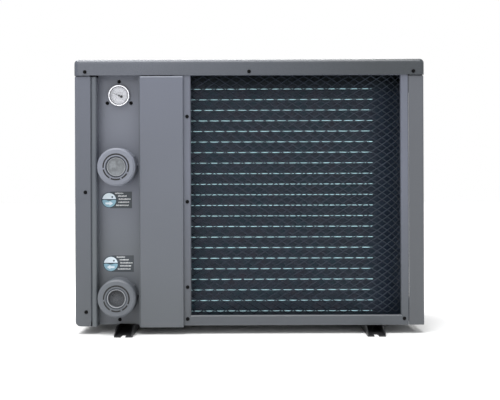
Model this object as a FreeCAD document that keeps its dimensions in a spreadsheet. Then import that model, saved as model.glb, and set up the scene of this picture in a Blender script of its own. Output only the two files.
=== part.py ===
import FreeCAD, Part
import math
import os
import Sketcher

# A pool heat pump: an air-source unit with an L-shaped coil, a side-blowing fan, a compressor,
# a titanium water exchanger and two union couplings for the pool pipes.
# +X runs along the casing, -Y is the side with the water unions, +Z is up.
# The origin is on the ground, under the middle of the casing. All sizes are in millimetres.

DIMENSIONS = {
    # casing
    "half_width": 414.0,
    "half_depth": 175.0,
    "sheet": 1.5,
    "panel_top": 612.0,
    "upstand_top": 640.0,
    "lid_half_width": 415.5,
    "lid_half_depth": 178.0,
    "lid_bottom": 614.0,
    "lid_top": 652.0,
    "lid_wall": 2.5,
    "lid_radius": 11.0,
    "left_bottom": 18.4,
    "left_radius": 12.0,
    "right_bottom": 20.6,
    "fold_radius": 4.0,
    "edge_radius": 3.0,
    "flange_width": 37.4,
    "right_flange_width": 36.0,
    # feet and base pan
    "foot_spacing": 590.0,
    "foot_width": 42.0,
    "foot_half_length": 220.0,
    "foot_height": 20.0,
    "foot_wall": 2.5,
    "foot_tip_height": 6.0,
    "notch_width": 11.0,
    "notch_length": 30.0,
    "pan_height": 20.0,
    "pan_gap": 14.0,
    # connection recess and covers
    "recess_left": -362.0,
    "recess_right": -262.0,
    "recess_depth": 35.0,
    "strip_width": 12.5,
    "cover_left": -259.0,
    "cover_right": -156.0,
    "cover_bottom": 17.0,
    "cover_depth": 8.0,
    "control_right": -178.0,
    # coil frame, coil and net
    "opening_left": -139.0,
    "opening_right": 359.0,
    "opening_bottom": 44.0,
    "frame_right": 376.0,
    "frame_depth": 12.0,
    "frame_border": 41.0,
    "frame_bevel": 2.0,
    "coil_front": -145.0,
    "coil_side": 383.0,
    "coil_radius": 88.0,
    "coil_depth": 22.0,
    "coil_bottom": 37.6,
    "coil_left": -145.5,
    "coil_back": 120.0,
    "tube_pitch": 25.4,
    "tube_radius": 4.76,
    "first_tube": 50.3,
    "net_gap": 2.5,
    "net_wall": 1.5,
    # fan
    "fan_x": 105.0,
    "fan_z": 330.0,
    "throat_radius": 214.0,
    "blade_radius": 205.0,
    "hub_radius": 46.0,
    "guard_radius": 236.0,
    "shaft_radius": 6.0,
    "shaft_gap": 0.05,
    # water unions
    "union_x": -313.0,
    "outlet_z": 397.0,
    "inlet_z": 87.5,
    "nut_radius": 44.5,
    "nut_opening": 30.0,
    "nut_front": 60.0,
    "thread_radius": 38.0,
    "thread_gap": 0.3,
    "socket_radius": 25.1,
    "socket_depth": 31.0,
    "neck_radius": 28.0,
    "pipe_bore": 20.0,
    "pipe_radius": 24.6,
    "switch_y": -122.0,
    "paddle_pivot": 33.0,
    # exchanger and compressor
    "shell_y": -30.0,
    "shell_radius": 65.0,
    "shell_bottom": 36.0,
    "shell_top": 440.0,
    "shell_wall": 5.0,
    "compressor_x": -245.0,
    "compressor_y": 98.0,
    "compressor_radius": 60.0,
    "line_radius": 6.0,
    "gas_crossing_z": 466.0,
    # gauge
    "gauge_z": 569.0,
    "bezel_radius": 26.0,
    "screw_circle": 33.6,
    "screw_head": 4.25,
    "screw_shank": 2.0,
    "screw_length": 9.0,
    # controls on the fan side
    "controller_x": -277.0,
    "controller_z": 470.0,
    "controller_width": 120.0,
    "controller_height": 90.0,
    "button_radius": 4.5,
    "button_gap": 0.3,
}

TUBE_ROWS = 23
BLADES = 5
NUT_LUG_ANGLES = (8.0, 36.0, 188.0, 216.0)
POINTER_ANGLE = 157.0
PLANES = {"XY": "XY_Plane", "XZ": "XZ_Plane", "YZ": "YZ_Plane"}
AXIS_TURNS = {
    "z": FreeCAD.Rotation(),
    "y": FreeCAD.Rotation(FreeCAD.Vector(1, 0, 0), -90),
    "-y": FreeCAD.Rotation(FreeCAD.Vector(1, 0, 0), 90),
    "x": FreeCAD.Rotation(FreeCAD.Vector(0, 1, 0), 90),
}

document = FreeCAD.newDocument("HeatPump")
parts = []


# ---------------------------------------------------------------- sizes

class Size:
    """A number together with the sheet expression that gives it."""

    def __init__(self, value, text):
        self.value = value
        self.text = text

    def joined(self, sign, other, value):
        return Size(value, "(" + self.text + " " + sign + " " + other.text + ")")

    def __add__(self, other):
        other = as_size(other)
        return self.joined("+", other, self.value + other.value)

    def __radd__(self, other):
        return as_size(other) + self

    def __sub__(self, other):
        other = as_size(other)
        return self.joined("-", other, self.value - other.value)

    def __rsub__(self, other):
        return as_size(other) - self

    def __mul__(self, other):
        other = as_size(other)
        return self.joined("*", other, self.value * other.value)

    def __rmul__(self, other):
        return as_size(other) * self

    def __truediv__(self, other):
        other = as_size(other)
        return self.joined("/", other, self.value / other.value)

    def __neg__(self):
        return as_size(0.0) - self


def as_size(number):
    """A plain number as a Size, or a Size unchanged."""
    if isinstance(number, Size):
        return number
    return Size(float(number), repr(float(number)))


class Sheet:
    """The spreadsheet of driving dimensions, read as sheet.alias."""

    def __init__(self, dimensions):
        cells = document.addObject("Spreadsheet::Sheet", "Sizes")
        for row, (alias, value) in enumerate(dimensions.items(), start=1):
            cells.set("A" + str(row), alias)
            cells.set("B" + str(row), str(value))
            cells.setAlias("B" + str(row), alias)
            setattr(self, alias, Size(value, "Sizes." + alias))
        document.recompute()


s = Sheet(DIMENSIONS)


# ---------------------------------------------------------------- building blocks

def bind(thing, name, size):
    """Bind one property of an object to an expression of the sheet."""
    thing.setExpression(name, as_size(size).text)


def put(thing, base, turn=None):
    """Place an object with its base point bound to the sheet."""
    numbers = [as_size(value).value for value in base]
    thing.Placement = FreeCAD.Placement(FreeCAD.Vector(*numbers), turn or FreeCAD.Rotation())
    for letter, value in zip("xyz", base):
        bind(thing, "Placement.Base." + letter, value)


def piece(thing, label):
    """Name an object as one sub-part of the heat pump."""
    thing.Label = label
    parts.append(thing)
    return thing


def block(name, low, high):
    """A square-edged block between two corners."""
    solid = document.addObject("Part::Box", name)
    for side, start, end in zip(("Length", "Width", "Height"), low, high):
        bind(solid, side, as_size(end) - start)
    put(solid, low)
    return solid


def rod(name, base, radius, length, axis="z"):
    """A round bar from its base point along an axis."""
    solid = document.addObject("Part::Cylinder", name)
    bind(solid, "Radius", radius)
    bind(solid, "Height", length)
    put(solid, base, AXIS_TURNS[axis])
    return solid


def joined(name, *things):
    """Several objects fused into one."""
    solid = document.addObject("Part::MultiFuse", name)
    solid.Shapes = list(things)
    return solid


def grouped(name, *things):
    """Several separate solids kept together as one node."""
    group = document.addObject("Part::Compound", name)
    group.Links = list(things)
    return group


def less(name, base, *tools):
    """One object with the others cut out of it."""
    tool = tools[0] if len(tools) == 1 else joined(name + "_tools", *tools)
    solid = document.addObject("Part::Cut", name)
    solid.Base = base
    solid.Tool = tool
    return solid


def shaped(name, shape):
    """An object whose shape is made directly with Part."""
    solid = document.addObject("Part::Feature", name)
    solid.Shape = shape
    return solid


def edges_at(shape, low, high, sides):
    """Names of the edges that lie on all the named sides, such as ("x-", "z+"), of a box."""
    names = []
    for number, edge in enumerate(shape.Edges, start=1):
        ends = [vertex.Point for vertex in edge.Vertexes]
        ends.append(edge.valueAt((edge.FirstParameter + edge.LastParameter) / 2))
        on_all = True
        for side in sides:
            index = "xyz".index(side[0])
            target = low[index] if side[1] == "-" else high[index]
            if any(abs(point[index] - target) > 0.01 for point in ends):
                on_all = False
        if on_all:
            names.append("Edge" + str(number))
    return names


def rounded_block(name, low, high, roundings):
    """A block with rounded edges: roundings lists (radius, [sides, sides, ...])."""
    body = document.addObject("PartDesign::Body", name)
    solid = body.newObject("PartDesign::AdditiveBox", name + "_block")
    lengths = [as_size(end) - start for start, end in zip(low, high)]
    for side, length in zip(("Length", "Width", "Height"), lengths):
        bind(solid, side, length)
    document.recompute()
    far_corner = [length.value for length in lengths]
    feature = solid
    for index, (radius, places) in enumerate(roundings):
        names = []
        for sides in places:
            names.extend(edges_at(feature.Shape, (0, 0, 0), far_corner, sides))
        rounding = body.newObject("PartDesign::Fillet", name + "_round" + str(index))
        rounding.Base = (feature, sorted(set(names)))
        bind(rounding, "Radius", radius)
        document.recompute()
        feature = rounding
    body.Tip = feature
    put(body, low)
    return body


def hollow_block(name, low, high, roundings, wall, open_sides):
    """A thin-walled tray: a rounded block less a smaller one that runs out of the open sides."""
    outer = rounded_block(name + "_outer", low, high, roundings)
    inner_low = []
    inner_high = []
    for letter, start, end in zip("xyz", low, high):
        inner_low.append(as_size(start) - 5 if letter + "-" in open_sides else as_size(start) + wall)
        inner_high.append(as_size(end) + 5 if letter + "+" in open_sides else as_size(end) - wall)
    inner_roundings = []
    for radius, places in roundings:
        kept = [sides for sides in places if not set(sides) & set(open_sides)]
        if kept and as_size(radius).value > as_size(wall).value + 0.5:
            inner_roundings.append((as_size(radius) - wall, kept))
    inner = rounded_block(name + "_inner", inner_low, inner_high, inner_roundings)
    return less(name, outer, inner)


def draw(body, name, plane, outlines, circles=()):
    """A sketch of closed outlines, with every corner bound to the sheet."""
    sketch = body.newObject("Sketcher::SketchObject", name)
    features = body.Origin.OriginFeatures
    origin_plane = [item for item in features if item.Role == PLANES[plane]][0]
    sketch.AttachmentSupport = [(origin_plane, "")]
    sketch.MapMode = "FlatFace"
    for outline in outlines:
        first = sketch.GeometryCount
        count = len(outline)
        places = [FreeCAD.Vector(as_size(u).value, as_size(v).value, 0) for u, v in outline]
        for index in range(count):
            sketch.addGeometry(Part.LineSegment(places[index], places[(index + 1) % count]))
        for index in range(count):
            following = first + (index + 1) % count
            sketch.addConstraint(Sketcher.Constraint("Coincident", first + index, 2, following, 1))
        for index, (u, v) in enumerate(outline):
            fix(sketch, "DistanceX", -2, first + index, u)
            fix(sketch, "DistanceY", -1, first + index, v)
    for radius, u, v in circles:
        centre = FreeCAD.Vector(as_size(u).value, as_size(v).value, 0)
        number = sketch.addGeometry(Part.Circle(centre, FreeCAD.Vector(0, 0, 1), as_size(radius).value))
        fix(sketch, "DistanceX", -2, number, u, 3)
        fix(sketch, "DistanceY", -1, number, v, 3)
        row = sketch.addConstraint(Sketcher.Constraint("Radius", number, as_size(radius).value))
        sketch.setExpression("Constraints[" + str(row) + "]", as_size(radius).text)
    document.recompute()
    return sketch


def fix(sketch, kind, axis, number, size, point=1):
    """Hold one point of a sketch at a bound distance from the origin, or on the axis at zero."""
    size = as_size(size)
    if abs(size.value) < 1e-9:
        sketch.addConstraint(Sketcher.Constraint("PointOnObject", number, point, axis))
        return
    row = sketch.addConstraint(Sketcher.Constraint(kind, -1, 1, number, point, size.value))
    sketch.setExpression("Constraints[" + str(row) + "]", size.text)


def padded(name, plane, outlines, base, length, circles=()):
    """Outlines drawn on an origin plane and padded. XZ pads run towards -Y, the others towards +."""
    body = document.addObject("PartDesign::Body", name)
    sketch = draw(body, name + "_sketch", plane, outlines, circles)
    pad = body.newObject("PartDesign::Pad", name + "_pad")
    pad.Profile = sketch
    bind(pad, "Length", length)
    document.recompute()
    body.Tip = pad
    put(body, base)
    return body


def turned(name, base, outline, axis="z"):
    """A round piece: an outline of (radius, distance along the axis) turned about the axis."""
    body = document.addObject("PartDesign::Body", name)
    sketch = draw(body, name + "_sketch", "XZ", [outline])
    revolution = body.newObject("PartDesign::Revolution", name + "_turn")
    revolution.Profile = sketch
    revolution.ReferenceAxis = (sketch, ["V_Axis"])
    revolution.Angle = 360
    document.recompute()
    body.Tip = revolution
    put(body, base, AXIS_TURNS[axis])
    return body


def ring_outline(inner, outer, start, end):
    """The outline of a plain ring or, with no inner radius, of a disc."""
    return [(inner, start), (outer, start), (outer, end), (inner, end)]


def bent_wire(points, bend):
    """A path of straight runs joined by tangent arcs."""
    corners = [FreeCAD.Vector(*[as_size(value).value for value in point]) for point in points]
    edges = []
    start = corners[0]
    for before, corner, after in zip(corners, corners[1:], corners[2:]):
        towards = (corner - before).normalize()
        away = (after - corner).normalize()
        half_turn = towards.getAngle(away) / 2
        trim = bend * math.tan(half_turn)
        first = corner - towards * trim
        last = corner + away * trim
        middle = corner + (away - towards).normalize() * (bend / math.cos(half_turn) - bend)
        edges.append(Part.LineSegment(start, first).toShape())
        edges.append(Part.Arc(first, middle, last).toShape())
        start = last
    edges.append(Part.LineSegment(start, corners[-1]).toShape())
    return Part.Wire(edges)


def swept_rod(path, radius):
    """A solid round bar along a wire."""
    start = path.Edges[0].valueAt(path.Edges[0].FirstParameter)
    direction = path.Edges[0].tangentAt(path.Edges[0].FirstParameter)
    section = Part.Wire(Part.makeCircle(as_size(radius).value, start, direction))
    return path.makePipeShell([section], True, False)


def bent_rod(name, points, bend, radius):
    """A bent refrigerant line. It stands for the tube with its wall, drawn solid."""
    return shaped(name, swept_rod(bent_wire(points, bend), radius))


# ---------------------------------------------------------------- feet and base

def foot_rail(name, middle):
    """A U channel under the base, its sides cut down towards both tips, with open notches."""
    half = s.foot_half_length
    tall = s.foot_height
    shoulder = s.half_depth + 4
    outline = [
        (-half, 0), (half, 0), (half, s.foot_tip_height), (shoulder, tall),
        (-shoulder, tall), (-half, s.foot_tip_height),
    ]
    rail = padded(name + "_bar", "YZ", [outline], (middle - s.foot_width / 2, 0, 0), s.foot_width)
    inside = s.foot_width / 2 - s.foot_wall
    channel = block(
        name + "_channel", (middle - inside, -half - 1, s.foot_wall),
        (middle + inside, half + 1, tall + 1),
    )
    cuts = [channel]
    for side in (-1, 1):
        tip = half * side
        end = tip - s.notch_length * side + s.notch_width / 2 * side
        low, high = (tip - 1, end) if side < 0 else (end, tip + 1)
        notch_half = s.notch_width / 2
        cuts.append(block(
            name + "_notch" + str(side + 1), (middle - notch_half, low, -1),
            (middle + notch_half, high, 10),
        ))
        cuts.append(rod(name + "_notch_end" + str(side + 1), (middle, end, -1), notch_half, 11))
    return piece(less(name, rail, *cuts), name)


def base_pan():
    """A shallow folded pan, notched in behind the recessed connection panel, with a drain hole."""
    bottom = s.foot_height
    top = bottom + s.pan_height
    wide = s.half_width - s.pan_gap
    deep = s.half_depth - 3.5
    notch_left = s.recess_left - 16
    notch_right = s.recess_right + 24
    notch_back = -s.half_depth + s.recess_depth + 3
    outer = block("pan_outer", (-wide, -deep, bottom), (wide, deep, top))
    outer_notch = block(
        "pan_notch", (notch_left, -deep - 1, bottom - 1), (notch_right, notch_back, top + 1)
    )
    inner = block(
        "pan_inner", (-wide + s.sheet, -deep + s.sheet, bottom + s.sheet),
        (wide - s.sheet, deep - s.sheet, top + 1),
    )
    inner_notch = block(
        "pan_inner_notch",
        (notch_left - s.sheet, -deep, bottom),
        (notch_right + s.sheet, notch_back + s.sheet, top + 2),
    )
    drain = rod("pan_drain", (s.fan_x, 0, bottom - 1), 8, 5)
    tray = less("pan_tray", outer, outer_notch)
    inside = less("pan_inside", inner, inner_notch)
    piece(less("base_pan", tray, inside, drain), "base_pan")


# ---------------------------------------------------------------- casing

def lid():
    """The moulded lid, a shallow cap with large rounded edges over the top of the casing."""
    wide = s.lid_half_width
    deep = s.lid_half_depth
    corners = [("x-", "y-"), ("x-", "y+"), ("x+", "y-"), ("x+", "y+")]
    roundings = [(s.lid_radius, corners), (s.lid_radius - 1, [("z+",)])]
    cap = hollow_block(
        "lid", (-wide, -deep, s.lid_bottom), (wide, deep, s.lid_top), roundings, s.lid_wall, ("z-",)
    )
    piece(cap, "lid")


def side_panel(name, side, bottom, flange, bottom_radius, open_sides):
    """A side sheet with flanges folded round both corners, and a stepped upstand under the lid."""
    outer_face = s.half_width * side
    inner_edge = outer_face - flange * side
    outside = "x-" if side < 0 else "x+"
    inside = "x+" if side < 0 else "x-"
    low_x, high_x = (outer_face, inner_edge) if side < 0 else (inner_edge, outer_face)
    roundings = [(s.fold_radius, [(outside, "y-"), (outside, "y+")])]
    if bottom_radius is not None:
        roundings.insert(0, (bottom_radius, [(outside, "z-")]))
    roundings.append((s.edge_radius - 1, [("z+",)]))
    tray = hollow_block(
        name + "_sheet", (low_x, -s.half_depth, bottom), (high_x, s.half_depth, s.panel_top),
        roundings, s.sheet, (inside,) + open_sides,
    )
    step = 3.0
    upstand = hollow_block(
        name + "_upstand",
        (low_x + (step if side < 0 else 2.0), -s.half_depth + step, s.panel_top - 1.2),
        (high_x - (step if side > 0 else 2.0), s.half_depth - step, s.upstand_top),
        [(s.fold_radius - 1, [(outside, "y-"), (outside, "y+")])], s.sheet, (inside, "z-", "z+"),
    )
    return joined(name + "_folded", tray, upstand)


def side_panels():
    """The closed left side, and the right side with its window for the air."""
    left = side_panel("left", -1, s.left_bottom, s.flange_width, s.left_radius, ())
    piece(left, "left_side_panel")
    right = side_panel("right", 1, s.right_bottom, s.right_flange_width, None, ("z-",))
    window_corners = [("y-", "z-"), ("y-", "z+"), ("y+", "z-"), ("y+", "z+")]
    window = rounded_block(
        "right_window",
        (s.half_width - 12, -s.half_depth + 35, 60), (s.half_width + 5, s.coil_back - 5, 590),
        [(10.0, window_corners)],
    )
    coil_gap = block(
        "right_coil_gap", (s.half_width - s.right_flange_width - 5, -s.half_depth + 20, 600),
        (s.coil_side + s.net_gap + s.net_wall + 2.5, s.coil_back + 6, s.upstand_top + 1),
    )
    piece(less("right_windowed", right, window, coil_gap), "right_side_panel")


def connection_panel():
    """The recessed panel that carries the gauge and the two unions, with a raised strip beside it."""
    front = -s.half_depth
    floor = front + s.recess_depth
    strip_left = s.recess_left - s.strip_width
    strip = hollow_block(
        "strip", (strip_left, front, s.left_bottom), (s.recess_left, floor + s.sheet, s.panel_top),
        [(4.0, [("x-", "y-"), ("x+", "y-")]), (3.0, [("y-", "z+")])], s.sheet, ("y+", "z-"),
    )
    floor_plate = block(
        "recess_floor", (s.recess_left - 1, floor, s.left_bottom),
        (s.recess_right, floor + s.sheet, s.upstand_top),
    )
    right_wall = block(
        "recess_wall", (s.recess_right, front, s.left_bottom),
        (s.recess_right + s.sheet, floor + s.sheet, s.panel_top),
    )
    flange = block(
        "recess_flange", (s.recess_right, front, s.left_bottom),
        (s.recess_right + 22, front + s.sheet, s.panel_top),
    )
    holes = []
    for index, height in enumerate((s.outlet_z, s.inlet_z)):
        place = (s.union_x, floor - 2, height)
        holes.append(rod("recess_bore" + str(index), place, s.pipe_radius + 1, 6, "y"))
    holes.append(rod("recess_gauge", (s.union_x, floor - 2, s.gauge_z), 23.4, 6, "y"))
    rail_x = -s.foot_spacing / 2
    rail_half = s.foot_width / 2 + 1
    holes.append(block(
        "rail_gap", (rail_x - rail_half, front - 1, s.left_bottom - 1),
        (rail_x + rail_half, floor + s.sheet + 1, s.foot_height + 0.2),
    ))
    panel = joined("recess_panel", strip, floor_plate, right_wall, flange)
    piece(less("connection_cut", panel, *holes), "connection_panel")


def service_cover():
    """The raised cover between the recess and the coil frame."""
    front = -s.half_depth - s.cover_depth
    edges = [("x-", "y-"), ("x+", "y-"), ("y-", "z-")]
    cover = hollow_block(
        "cover", (s.cover_left, front, s.cover_bottom), (s.cover_right, -s.half_depth - 0.1, s.panel_top),
        [(5.0, [("y-", "z+")]), (2.2, edges)], s.sheet, ("y+",),
    )
    piece(cover, "service_cover")


def coil_frame():
    """The frame round the coil: a front sheet with returns folded in round the opening."""
    front = -s.half_depth
    left = s.opening_left - s.frame_border
    top = s.lid_bottom
    deep = front + s.frame_depth
    wall = s.sheet
    plate = block(
        "frame_plate", (left, front, s.right_bottom), (s.frame_right, front + wall, s.upstand_top)
    )
    returns = block(
        "frame_returns", (s.opening_left - wall, front, s.opening_bottom - wall),
        (s.opening_right + wall, deep, top + wall),
    )
    opening = block(
        "frame_opening", (s.opening_left, front - 5, s.opening_bottom), (s.opening_right, deep + 5, top)
    )
    frame = less("frame_cut", joined("frame_solid", plate, returns), opening)
    document.recompute()
    corners = (s.opening_left.value, front.value, s.opening_bottom.value)
    far_corners = (s.opening_right.value, front.value, top.value)
    lips = []
    for sides in (("x-", "y-"), ("x+", "y-"), ("z-", "y-"), ("z+", "y-")):
        lips.extend(edges_at(frame.Shape, corners, far_corners, sides))
    bevelled = document.addObject("Part::Chamfer", "frame_bevelled")
    bevelled.Base = frame
    bevel = s.frame_bevel.value
    bevelled.Edges = [(int(lip[4:]), bevel, bevel) for lip in sorted(set(lips))]
    piece(bevelled, "coil_frame")


def partition_wall():
    """The upright sheet between the compressor side and the fan side, with two pipe holes."""
    low = (s.control_right, -s.half_depth + 14, s.foot_height + s.sheet)
    high = (s.control_right + s.sheet, s.half_depth - 5.2, 630)
    wall = block("partition_sheet", low, high)
    tube_y = s.coil_front + s.coil_depth / 2
    holes = []
    crossings = ((tube_y, s.first_tube), (s.compressor_y, s.gas_crossing_z))
    for index, (across, height) in enumerate(crossings):
        place = (s.control_right - 2, across, height)
        holes.append(rod("partition_hole" + str(index), place, 9, 6, "x"))
    piece(less("partition_cut", wall, *holes), "partition_wall")


# ---------------------------------------------------------------- coil

def wrapped_slab(name, offset, thickness, left, back, bottom, top):
    """An upright slab that follows the L of the coil. Offset moves its outer face outwards."""
    front = s.coil_front - offset
    side = s.coil_side + offset
    outer = s.coil_radius + offset
    centre_x = s.coil_side - s.coil_radius
    centre_y = s.coil_front + s.coil_radius
    rear_run = block(name + "_rear", (left, front, bottom), (centre_x, front + thickness, top))
    side_run = block(name + "_side", (side - thickness, centre_y, bottom), (side, back, top))
    bend = rod(name + "_bend", (centre_x, centre_y, bottom), outer, as_size(top) - bottom)
    bend.Placement.Rotation = FreeCAD.Rotation(FreeCAD.Vector(0, 0, 1), -90)
    bend.Angle = 90
    core = rod(
        name + "_core", (centre_x, centre_y, as_size(bottom) - 1), outer - thickness,
        as_size(top) - bottom + 2,
    )
    return joined(name, rear_run, side_run, less(name + "_quarter", bend, core))


def tube_path():
    """One continuous path through every row: along the back, round the bend, and a hairpin."""
    depth = s.coil_depth.value / 2
    tube_y = s.coil_front.value + depth
    tube_x = s.coil_side.value - depth
    radius = s.coil_radius.value - depth
    left = s.coil_left.value - 3.5
    back = s.coil_back.value + 3.5
    pitch = s.tube_pitch.value
    centre = FreeCAD.Vector(tube_x - radius, tube_y + radius, 0)
    diagonal = FreeCAD.Vector(math.sin(math.pi / 4), -math.cos(math.pi / 4), 0) * radius
    edges = []
    for row in range(TUBE_ROWS):
        height = FreeCAD.Vector(0, 0, s.first_tube.value + row * pitch)
        stops = [
            FreeCAD.Vector(left, tube_y, 0) + height,
            FreeCAD.Vector(centre.x, tube_y, 0) + height,
            FreeCAD.Vector(tube_x, centre.y, 0) + height,
            FreeCAD.Vector(tube_x, back, 0) + height,
        ]
        bend = Part.Arc(stops[1], centre + diagonal + height, stops[2])
        run = [
            Part.LineSegment(stops[0], stops[1]).toShape(),
            bend.toShape(),
            Part.LineSegment(stops[2], stops[3]).toShape(),
        ]
        outwards = FreeCAD.Vector(0, pitch / 2, 0)
        end = stops[3]
        if row % 2:
            run = [
                Part.LineSegment(stops[3], stops[2]).toShape(),
                Part.Arc(stops[2], centre + diagonal + height, stops[1]).toShape(),
                Part.LineSegment(stops[1], stops[0]).toShape(),
            ]
            outwards = FreeCAD.Vector(-pitch / 2, 0, 0)
            end = stops[0]
        edges.extend(run)
        if row < TUBE_ROWS - 1:
            rise = FreeCAD.Vector(0, 0, pitch)
            edges.append(Part.Arc(end, end + rise / 2 + outwards, end + rise).toShape())
    return Part.Wire(edges)


def evaporator():
    """The finned coil with its serpentine tube and its two pierced end plates."""
    tubes = shaped("coil_tubes", swept_rod(tube_path(), s.tube_radius))
    slab = wrapped_slab(
        "fin_slab", 0.0, s.coil_depth, s.coil_left, s.coil_back, s.coil_bottom,
        s.coil_bottom + TUBE_ROWS * s.tube_pitch,
    )
    piece(less("fin_pack", slab, tubes), "evaporator_fins")
    piece(tubes, "evaporator_tubes")
    plate = s.sheet
    top = 630.0
    bottom = s.foot_height + s.sheet
    margin = 3.0
    left_plate = block(
        "end_plate_left", (s.coil_left - plate - 0.1, s.coil_front, bottom),
        (s.coil_left - 0.1, s.coil_front + s.coil_depth + margin, top),
    )
    back_plate = block(
        "end_plate_back", (s.coil_side - s.coil_depth - margin, s.coil_back + 0.1, bottom),
        (s.coil_side, s.coil_back + plate + 0.1, top),
    )
    holes = []
    depth = s.coil_depth / 2
    for row in range(TUBE_ROWS):
        height = s.first_tube + row * s.tube_pitch
        left_place = (s.coil_left - 6, s.coil_front + depth, height)
        back_place = (s.coil_side - depth, s.coil_back - 6, height)
        holes.append(rod("left_hole" + str(row), left_place, s.tube_radius + 0.2, 12, "x"))
        holes.append(rod("back_hole" + str(row), back_place, s.tube_radius + 0.2, 12, "y"))
    plates = grouped("end_plates", left_plate, back_plate)
    piece(less("end_plates_cut", plates, *holes), "evaporator_end_plates")


def coil_net():
    """The envelope of the diamond net that guards the coil."""
    net = wrapped_slab(
        "net", s.net_gap + s.net_wall, s.net_wall, s.opening_left + 1, s.coil_back - 2,
        s.opening_bottom + 1, s.lid_bottom + 4,
    )
    piece(net, "coil_net")


# ---------------------------------------------------------------- fan

def fan_panel():
    """The sheet on the fan side, with a bell-mouth rolled in round the fan opening."""
    back = s.half_depth
    plate = block(
        "fan_sheet", (s.control_right + 1, back - s.sheet, s.right_bottom),
        (s.frame_right, back, s.upstand_top),
    )
    opening = rod("fan_opening", (s.fan_x, back - 10, s.fan_z), s.throat_radius + 11, 20, "y")
    throat = s.throat_radius
    wall = s.sheet
    mouth = turned("bell_mouth", (s.fan_x, back, s.fan_z), [
        (throat, -34), (throat + wall, -34), (throat + wall, -12), (throat + 5, -4.5),
        (throat + 11.5, -wall), (throat + 11.5, 0), (throat + 10, 0), (throat + 3.5, -4), (throat, -12),
    ], "y")
    piece(joined("fan_panel_joined", less("fan_sheet_cut", plate, opening), mouth), "fan_panel")


def fan_guard():
    """The wire guard over the fan: concentric rings on radial spokes that turn in to the panel."""
    spokes = 8
    spoke_y = s.half_depth + 10
    ring_y = spoke_y + 3
    wire = 1.7
    pieces = [turned("guard_cap", (s.fan_x, spoke_y, s.fan_z), [
        (0, 0), (26, 0), (26, 4), (22, 5), (0, 5),
    ], "y")]
    for index in range(9):
        radius = 46 + index * (s.guard_radius - 46).value / 8
        ring = document.addObject("Part::Torus", "guard_ring" + str(index))
        ring.Radius1 = radius
        ring.Radius2 = wire
        put(ring, (s.fan_x, ring_y, s.fan_z), AXIS_TURNS["y"])
        pieces.append(ring)
    for index in range(spokes):
        angle = math.radians(22.5 + index * 360 / spokes)
        across = math.cos(angle)
        up = math.sin(angle)
        reach = s.guard_radius.value + 3
        centre_x = s.fan_x.value
        centre_z = s.fan_z.value
        points = [
            (centre_x + 15 * across, spoke_y, centre_z + 15 * up),
            (centre_x + reach * across, spoke_y, centre_z + reach * up),
            (centre_x + reach * across, s.half_depth, centre_z + reach * up),
        ]
        pieces.append(bent_rod("guard_spoke" + str(index), points, 5, 2.0))
    piece(joined("guard", *pieces), "fan_guard")


def blade_section(radius, chord, pitch, camber):
    """A thin cambered section of a blade, square to the radius, as a closed wire."""
    half = chord / 2
    thick = 1.6
    lean = math.radians(pitch)

    def place(along, across):
        y = along * math.sin(lean) + across * math.cos(lean)
        x = along * math.cos(lean) - across * math.sin(lean)
        return FreeCAD.Vector(x, y, radius)

    front = Part.Arc(place(-half, thick), place(0, camber + thick), place(half, thick))
    back = Part.Arc(place(half, -thick), place(0, camber - thick), place(-half, -thick))
    caps = [
        Part.LineSegment(place(half, thick), place(half, -thick)),
        Part.LineSegment(place(-half, -thick), place(-half, thick)),
    ]
    return Part.Wire([front.toShape(), caps[0].toShape(), back.toShape(), caps[1].toShape()])


def fan():
    """Motor bracket, motor, shaft, bladed rotor and the nut that holds it."""
    x = s.fan_x
    z = s.fan_z
    bottom = s.foot_height + s.sheet
    rails = []
    for index, offset in enumerate((-52, 34)):
        rails.append(block(
            "bracket_rail" + str(index), (x + offset, 16, bottom), (x + offset + 18, 30, 636)
        ))
    for index, height in enumerate((-78, 62)):
        rails.append(block(
            "bracket_bar" + str(index), (x - 52, 27, z + height), (x + 52, 30, z + height + 16)
        ))
    piece(joined("bracket", *rails), "fan_motor_bracket")
    bore = s.shaft_radius + s.shaft_gap
    motor = turned("motor", (x, 30.1, z), [
        (0, 0), (80, 0), (80, 3), (50, 3), (50, 62), (44, 70), (20, 70), (20, 76), (bore, 76),
        (bore, 30), (0, 30),
    ], "y")
    piece(motor, "fan_motor")
    shaft = turned("shaft", (x, 62, z), [
        (0, 0), (s.shaft_radius, 0), (s.shaft_radius, 100), (5, 101), (0, 101),
    ], "y")
    piece(shaft, "fan_shaft")
    hub = turned("hub", (x, 110, z), [
        (s.shaft_radius, 0), (18, 0), (18, 30), (s.hub_radius - 3, 30), (s.hub_radius - 3, 0),
        (s.hub_radius, 0), (s.hub_radius, 34), (s.hub_radius - 6, 40), (s.shaft_radius, 40),
    ], "y")
    sections = [
        blade_section(s.hub_radius.value - 2, 78, 36, 9),
        blade_section(110, 118, 29, 12),
        blade_section(160, 146, 24, 12),
        blade_section(s.blade_radius.value, 158, 20, 9),
    ]
    blade = Part.makeLoft(sections, True, False)
    blades = []
    for index in range(BLADES):
        copy = blade.copy()
        copy.rotate(FreeCAD.Vector(0, 0, 0), FreeCAD.Vector(0, 1, 0), index * 360 / BLADES)
        copy.translate(FreeCAD.Vector(x.value, 128, z.value))
        blades.append(shaped("blade" + str(index), copy))
    sweep = rod("rotor_sweep", (x, 80, z), s.blade_radius + 3, 100, "y")
    rotor = document.addObject("Part::Common", "rotor_trimmed")
    rotor.Base = joined("rotor", hub, *blades)
    rotor.Tool = sweep
    piece(rotor, "fan_rotor")
    turns = [math.radians(60 * k) for k in range(6)]
    corners = [(10 * math.cos(turn), 10 * math.sin(turn)) for turn in turns]
    nut = padded("fan_nut_body", "XZ", [corners], (x, 158, z), 7.9, [(s.shaft_radius, 0, 0)])
    piece(nut, "fan_nut")


# ---------------------------------------------------------------- water side

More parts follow.
